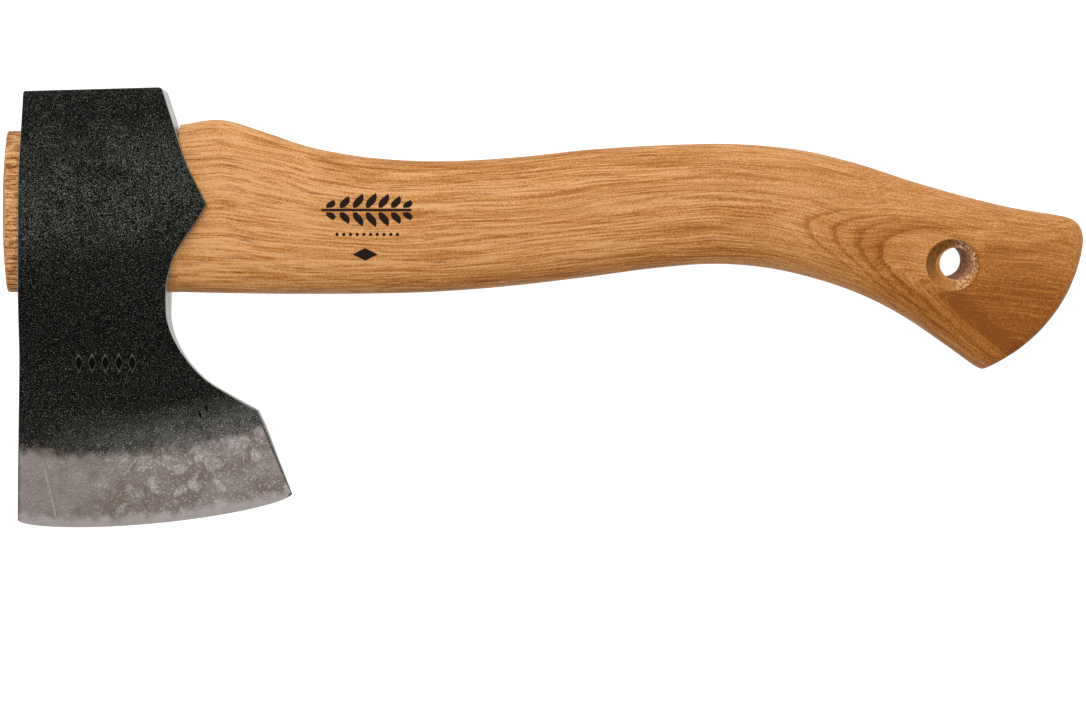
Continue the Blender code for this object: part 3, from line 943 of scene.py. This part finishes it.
def forge_scale(look, point, grit, middle, below_bevel):
    """Black scale with pale speckle, painted lighter round the eye and darker at the poll and below it as
    sheen, worn towards the bevel, and with painted shade on the floors of the stamps and dents.
    """
    x, y, _ = look.parts(point)
    cloud = look.noise(point, 0.055, 3.0, 0.55)
    # painted sheen: the cheek lighter round the eye, darker at the poll and on the slope below it
    painted_sheen = look.times(look.span(y, 10.0, 28.0, 0.25, 1.0), look.span(y, 48.0, 64.0, 1.0, 0.40))
    haze = look.times(look.span(cloud, 0.36, 0.64, 0.55, 1.0), look.span(middle, 0.3, 0.7, 0.8, 1.1))
    spread = look.total(grit, look.span(look.times(haze, painted_sheen), 0.0, 1.0, -0.10, -0.03))
    worn = look.times(
        look.span(below_bevel, -17.0, -1.0), look.span(x, -172.0, -115.0, 0.12, 1.0),
        look.span(middle, 0.30, 0.60, 0.55, 1.0),
    )
    speckle = look.span(look.total(spread, look.times(worn, 0.07)), 0.480, 0.660)
    dark = look.mix(worn, BLACK_SCALE, WORN_SCALE)
    light = look.mix(worn, SCALE_SPECKLE, WORN_SPECKLE)
    scale = look.mix(speckle, dark, light)

    depth = look.attribute("pressed")
    # painted shade on the floors of the stamps and dents
    scale = look.mix(look.span(depth, 0.12, 0.22), scale, PAINTED_STAMP_SHADE)
    rim = look.times(look.span(depth, 0.02, 0.06), look.span(depth, 0.22, 0.12), 0.8)
    return look.mix(rim, scale, STAMP_RIM)


def bevel_steel(look, point, grit, fine, middle, below_bevel):
    """Brownish ground steel with pale blotches, painted glints, a pale edge and scratches."""
    x, y, _ = look.parts(point)
    tint = look.noise(point, 0.10, 2.0, 0.45)
    steel = look.mix(look.span(tint, 0.38, 0.62), *BEVEL_STEEL)

    cells = {"Scale": 0.155, "Vector": look.bent(point, 0.2, 5.0)}
    off = look.node("TexVoronoi", cells, "Distance", voronoi_dimensions="2D")
    chosen = look.span(look.parts(off.node.outputs["Color"])[0], 0.35, 0.65)
    blots = look.times(look.span(off, 0.42, 0.20), chosen)
    band = look.times(look.span(below_bevel, -1.0, 2.0), look.span(below_bevel, 3.0, 9.0, 0.8, 0.0))
    blots = look.largest(blots, look.times(band, look.span(middle, 0.42, 0.60)))
    blots = look.times(
        blots, look.span(fine, 0.34, 0.62, 0.35, 1.0), look.span(x, -158.0, -120.0, 0.12, 1.0), 0.95,
    )
    steel = look.mix(blots, steel, BEVEL_BLOT)
    steel = look.mix(look.span(grit, 0.3, 0.7, 0.0, 0.60), steel, BEVEL_GRIT)
    # painted glints: small highlights painted on the bevel
    painted_glint = look.times(look.span(fine, 0.50, 0.70), look.span(x, -158.0, -120.0, 0.24, 0.62))
    steel = look.mix(painted_glint, steel, PAINTED_BEVEL_GLINT)

    from_edge = look.total(look.attribute("above_edge"), look.span(middle, 0.3, 0.7, -1.2, 1.2))
    steel = look.mix(look.span(from_edge, 0.8, 5.0, 0.85, 0.0), steel, look.mix(grit, *EDGE_STEEL))
    scratched = look.largest(*[scratch(look, x, y, *ends) for ends in SCRATCHES])
    return look.mix(look.times(scratched, look.span(fine, 0.35, 0.6, 0.15, 0.55)), steel, SCRATCH_STEEL)


def scratch(look, x, y, start, end):
    """Where a straight scratch from start to end is."""
    reach = math.dist(start, end)
    along_x, along_y = (end[0] - start[0]) / reach, (end[1] - start[1]) / reach
    from_x, from_y = look.minus(x, start[0]), look.minus(y, start[1])
    along = look.total(look.times(from_x, along_x), look.times(from_y, along_y))
    aside = look.minus(look.times(from_y, along_x), look.times(from_x, along_y))
    beyond = look.minus(look.away(along, reach / 2.0), reach / 2.0)
    off = look.largest(look.away(aside), beyond)
    return look.span(off, SCRATCH_WIDTH, 0.3 * SCRATCH_WIDTH)


def forged_steel_material():
    """Black forge scale on the cheeks, a ground bevel with a ragged upper line, and bare side walls."""
    look = Look("forged_steel")
    point = look.position()
    level = look.level("Normal")
    grit = look.noise(point, 3.4, 1.0, 0.7)
    fine = look.noise(point, 1.1, 3.0, 0.75)
    middle = look.noise(point, 0.22, 4.0, 0.6)
    below_bevel = look.attribute("below_bevel_line")
    ragged = look.total(
        below_bevel, look.times(look.minus(grit, 0.5), 8.0), look.times(look.minus(middle, 0.5), 7.0),
    )
    ground = look.times(look.span(ragged, -1.8, 2.2), look.span(level, 0.90, 0.96))
    wall = look.span(level, 0.70, 0.55)
    bare = look.largest(ground, wall)

    lines = look.noise(point, (0.25, 0.25, 5.0), 3.0, 0.6)
    wall_steel = look.mix(look.span(lines, 0.35, 0.65), *WALL_STEEL)
    steel = look.mix(wall, bevel_steel(look, point, grit, fine, middle, below_bevel), wall_steel)
    rough = look.total(look.span(bare, 0.0, 1.0, 0.60, 0.40), look.span(fine, 0.3, 0.7, -0.05, 0.07))
    height = look.total(look.times(grit, 0.7), look.times(middle, 0.8))
    look.set(
        Base_Color=look.mix(bare, forge_scale(look, point, grit, middle, below_bevel), steel),
        Metallic=bare, Roughness=rough, Normal=look.bump(height, 0.4, 0.0003), Specular_IOR_Level=0.07,
    )
    return look.owner


def sprig(look, x, y):
    """A stem with paired leaves that lean along it and get shorter towards its ends."""
    along = look.minus(x, SPRIG_CENTRE[0])
    rise = look.away(y, SPRIG_CENTRE[1])
    leaned = look.minus(along, look.times(rise, LEAF_LEAN))
    cell = look.total(look.math("DIVIDE", leaned, LEAF_PITCH), 0.5)
    number = look.away(look.math("FLOOR", cell))
    shorter = look.math("MULTIPLY_ADD", look.math("POWER", number, 2.0), -LEAF_SHORTENING, 1.0)
    reach = look.math("DIVIDE", rise, look.times(shorter, SPRIG_HALF_HEIGHT))
    swell = look.math("SINE", look.times(look.math("MINIMUM", reach, 1.0), math.pi))
    inside = look.minus(look.times(swell, LEAF_HALF_WIDTH), look.away(look.math("FRACT", cell), 0.5))
    leaves = look.times(
        look.span(inside, 0.0, 0.05), look.span(rise, 0.60, 0.80),
        look.math("LESS_THAN", number, LEAF_PAIRS / 2.0),
    )
    stem = look.span(rise, STEM_HALF + 0.07, STEM_HALF - 0.07)
    end = SPRIG_LENGTH / 2.0
    within = look.span(look.away(along), end + 0.15, end - 0.15)
    return look.largest(leaves, look.times(stem, within))


def dotted_row(look, x, y):
    along = look.minus(x, DOT_ROW[0])
    in_cell = look.minus(look.math("FRACT", look.math("DIVIDE", along, DOT_PITCH)), 0.5)
    off = look.distance(look.times(in_cell, DOT_PITCH), look.away(y, DOT_ROW[1]))
    dots = look.span(off, DOT_RADIUS + 0.07, DOT_RADIUS - 0.07)
    return look.times(dots, look.math("LESS_THAN", look.away(along), 5.0 * DOT_PITCH))


def lozenge(look, x, y):
    across = look.math("DIVIDE", look.away(x, LOZENGE[0]), LOZENGE_HALF[0])
    up = look.math("DIVIDE", look.away(y, LOZENGE[1]), LOZENGE_HALF[1])
    return look.span(look.total(across, up), 1.05, 0.95)


def burnt_mark(look, x, y, z):
    """A plain sprig, a dotted row and a lozenge, on the upper side only."""
    mark = look.largest(sprig(look, x, y), dotted_row(look, x, y), lozenge(look, x, y))
    return look.times(mark, look.math("GREATER_THAN", z, 0.0))


def wood_darkness(look, point, grain, fine, knob):
    """How dark the wood is, by its tone with painted shade along its edges, rings, loops, fibres and
    specks.
    """
    x = look.parts(point)[0]
    broad = look.noise(grain, (0.012, 0.16, 0.12), 2.0, 0.5)
    streak = look.noise(grain, (0.013, 0.55, 0.50), 2.0, 0.55)
    speck = look.noise(point, 1.9, 1.0, 0.6)
    wander = look.times(look.minus(broad, 0.5), look.span(x, 20.0, 80.0, 5.0, 1.0))
    wobble = look.times(look.minus(streak, 0.5), 1.2)
    layer = look.total(wander, wobble, look.attribute("rings"))

    rings = look.math("DIVIDE", layer, RING_WIDTH)
    phase = look.math("FRACT", rings)
    each = look.node("TexWhiteNoise", {"W": look.math("FLOOR", rings)}, noise_dimensions="1D")
    late = look.times(
        look.span(phase, 0.25, 0.85), look.span(phase, 1.0, 0.88), look.span(each, 0.0, 1.0, 0.2, 1.0),
        look.span(x, 80.0, 110.0, 0.14, 0.05),
    )
    loops = []
    for level, rise, strength in LOOP_BANDS:
        fade = look.span(layer, level, level + LOOP_FADE, strength, 0.0)
        loops.append(look.times(look.span(layer, level - rise, level), fade))
    return look.total(
        look.attribute("tone_and_painted_shade"), late, look.times(look.largest(*loops), look.attribute("loop_strength")),
        look.times(look.span(streak, 0.32, 0.70, -0.09, 0.15), look.span(knob, 0.0, 1.0, 1.0, 0.4)),
        look.times(look.span(fine, 0.30, 0.70, -0.25, 0.38), look.span(knob, 0.0, 1.0, 1.0, 0.62)),
        look.span(speck, 0.25, 0.75, -0.20, 0.20),
    )


def bore_distance(look, x, y, z):
    """Distance from the bore's leaning axis."""
    from_x = look.math("MULTIPLY_ADD", z, BORE_LEAN[0], look.minus(x, BORE_MIDDLE[0]))
    from_y = look.math("MULTIPLY_ADD", z, BORE_LEAN[1], look.minus(y, BORE_MIDDLE[1]))
    return look.distance(from_x, from_y)


def with_hang_hole(look, colour, point, z, bore_off):
    """The wood's colour with the dark, torn cut of the bore and the countersinks: painted shade on the
    countersinks' upper-left walls, painted light on their lower walls, a line of painted shade round the
    rim, and pale torn fibres partly painted as highlights.
    """
    x, y, _ = look.parts(point)
    chips = look.noise(point, (1.1, 1.1, 0.7), 3.0, 0.7)
    sink_x = look.minus(x, SINK_TOP_CENTRE[0])
    sink_y = look.total(look.minus(y, SINK_MIDDLE_Y), look.times(z, SINK_LEAN))
    sink_off = look.distance(sink_x, sink_y)
    slanting = look.span(look.level("True Normal"), 0.97, 0.88)
    sink = look.times(look.span(sink_off, SINK_RADIUS + 0.5, SINK_RADIUS - 0.2), slanting)
    bore = look.span(bore_off, BORE_RADIUS + 0.8, BORE_RADIUS + 0.2)

    # painted shade on the countersinks' upper-left walls and painted light on their lower walls
    to_shade = look.minus(look.times(sink_y, 0.85), look.times(sink_x, 0.53))
    shade = look.total(
        look.span(look.math("DIVIDE", to_shade, 9.0), -0.75, 0.55, 0.05, 0.68),
        look.span(chips, 0.35, 0.70, -0.18, 0.30),
    )
    cut = look.mix(bore, look.mix(shade, *SINK_WOOD_LIT_AND_SHADED), BORE_WOOD)
    right = look.span(sink_x, -1.0, 3.0)
    left = look.span(sink_x, -9.0, -6.0, 0.35, 0.0)
    # pale torn fibres of the cut, partly painted highlights where they catch the light
    torn_and_glinting = look.times(look.span(chips, 0.53, 0.61), look.largest(right, left), 0.8)
    gouged = look.times(look.span(chips, 0.45, 0.38), look.span(sink_x, -1.0, 3.0, 0.4, 1.0), 0.7)
    cut = look.mix(gouged, look.mix(torn_and_glinting, cut, TORN_WOOD_AND_GLINTS), GOUGED_WOOD)
    colour = look.mix(look.largest(sink, bore), colour, cut)

    # painted shade: a dark line round the countersink's rim, strongest on its right
    rim = look.times(
        look.span(sink_off, SINK_RADIUS - 0.5, SINK_RADIUS + 0.1),
        look.span(sink_off, SINK_RADIUS + 0.1, SINK_RADIUS + 0.6, 0.45, 0.0),
        look.span(sink_x, -4.0, 5.0),
    )
    return look.mix(rim, colour, SINK_RIM_SHADE)


def handle_wood_material():
    """Oiled honey-coloured wood: looped growth rings, long fibres and fine dark pores."""
    look = Look("oiled_wood")
    point = look.position()
    x, y, height = look.parts(point)
    z = look.minus(height, MID_HEIGHT)
    grain = look.attribute("grain", "Vector")
    fine = look.noise(grain, (0.040, 2.0, 1.7), 3.0, 0.65)
    knob = look.span(x, 55.0, 90.0)
    colour = look.ramp(wood_darkness(look, point, grain, fine, knob), WOOD_COLOURS)

    end_grain = look.span(x, TONGUE_END_X + 9.0, TONGUE_END_X + 5.0)
    split = look.noise(point, (0.22, 1.1, 1.1), 3.0, 0.75)
    patch = look.span(look.noise(point, 0.35, 1.0, 0.5), 0.40, 0.60)
    light = look.times(end_grain, patch, look.span(split, 0.34, 0.48, 0.9, 0.0))
    colour = look.mix(light, colour, SPLIT_WOOD)
    pore = look.noise(grain, (0.075, 2.5, 2.3), 1.0, 0.5)
    pores = look.times(look.span(pore, 0.60, 0.72), look.span(knob, 0.0, 1.0, 0.55, 0.30))
    pores = look.largest(pores, look.times(look.span(split, 0.50, 0.60), end_grain, 0.9))
    colour = look.mix(pores, colour, PORE_WOOD)

    bore_off = bore_distance(look, x, y, z)
    colour = with_hang_hole(look, colour, point, z, bore_off)
    mark = burnt_mark(look, x, y, z)
    colour = look.mix(look.times(mark, look.span(fine, 0.2, 0.8, 1.0, 0.97)), colour, BURNT_WOOD)
    rough = look.total(look.span(fine, 0.2, 0.8, 0.50, 0.60), look.times(mark, 0.25))
    rough = look.largest(rough, look.span(bore_off, 8.0, 9.0, 0.9, 0.0))
    relief = look.minus(look.minus(look.times(fine, 0.5), look.times(pores, 0.6)), mark)
    look.set(Base_Color=colour, Roughness=rough, Normal=look.bump(relief, 0.35, 0.0002))
    look.set(Specular_IOR_Level=0.18)
    return look.owner


def wedge_wood_material():
    """Pale dry wood cut across its grain, with saw lines."""
    look = Look("wedge_wood")
    grain = look.attribute("grain", "Vector")
    streak = look.noise(grain, (0.05, 0.9, 2.5), 4.0, 0.6)
    fibre = look.noise(grain, (0.3, 6.0, 6.0), 4.0, 0.6)
    dark = look.total(look.span(streak, 0.3, 0.7, 0.0, 0.6), look.span(fibre, 0.3, 0.7, 0.0, 0.4))
    look.set(Base_Color=look.mix(dark, *WEDGE_WOOD))
    look.set(Roughness=look.span(fibre, 0.2, 0.8, 0.6, 0.75), Normal=look.bump(fibre, 0.4, 0.0002))
    return look.owner


def wedge_steel_material():
    """Dull steel, hammered at its end."""
    look = Look("wedge_steel")
    point = look.position()
    blot = look.noise(point, 0.6, 4.0, 0.6)
    fine = look.noise(point, 3.0, 3.0, 0.6)
    look.set(Base_Color=look.mix(look.span(blot, 0.35, 0.65), *WEDGE_STEEL))
    look.set(Roughness=look.span(fine, 0.2, 0.8, 0.32, 0.5), Normal=look.bump(blot, 0.3, 0.0002))
    look.set(Metallic=1.0)
    return look.owner


def make_floor():
    """A plain white table, clear from below."""
    bpy.ops.mesh.primitive_plane_add(size=FLOOR_SIZE)
    floor = bpy.context.object
    floor.name = "floor"
    look = Look("white_table")
    look.set(Base_Color=FLOOR_GREY, Roughness=0.9, Emission_Color=WHITE, Emission_Strength=FLOOR_GLOW)
    below = look.node("NewGeometry", {}, "Backfacing")
    clear = look.node("BsdfTransparent", {})
    either = look.node("MixShader", {0: below, 1: look.shader.outputs[0], 2: clear})
    look.feed(look.tree.nodes["Material Output"].inputs["Surface"], either)
    floor.data.materials.append(look.owner)
    floor.visible_diffuse = False


def make_world():
    """Soft light from all round, brightest above and on the poll's side."""
    look = Look("studio", bpy.data.worlds, "Background")
    bpy.context.scene.world = look.owner
    direction = look.node("TexCoord", {}, "Generated")
    slope = look.vectors("DOT_PRODUCT", direction, WORLD_SLOPE, "Value")
    look.set(Color=WHITE, Strength=look.total(slope, WORLD_LEVEL))


def make_key_light():
    light = bpy.data.lights.new("key", "AREA")
    light.shape = "SQUARE"
    light.size = KEY_SIZE
    light.energy = KEY_WATTS
    lamp = add_to_scene("key", light)
    lamp.location = KEY_PLACE
    lamp.rotation_euler = (-Vector(KEY_PLACE)).to_track_quat("-Z", "Y").to_euler()


def make_camera():
    data = bpy.data.cameras.new("camera")
    data.lens = CAMERA_LENS
    data.sensor_width = SENSOR_WIDTH
    camera = add_to_scene("camera", data)
    centre_x = (CAD_BOUNDS[0].x + CAD_BOUNDS[1].x) / 2.0
    camera.location = (centre_x, CAMERA_Y * MM, (MID_HEIGHT + CAMERA_ABOVE_MIDDLE) * MM)
    bpy.context.scene.camera = camera


def place(piece, node):
    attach(piece, "root")
    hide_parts(node)


def main():
    make_camera()
    make_floor()
    make_world()
    make_key_light()
    bpy.context.scene.view_settings.view_transform = "Standard"
    place(make_head(), "axe_head")
    place(make_handle(), "handle")
    place(make_wood_wedge(), "wood_wedge")
    place(make_steel_wedge(), "steel_wedge")


main()
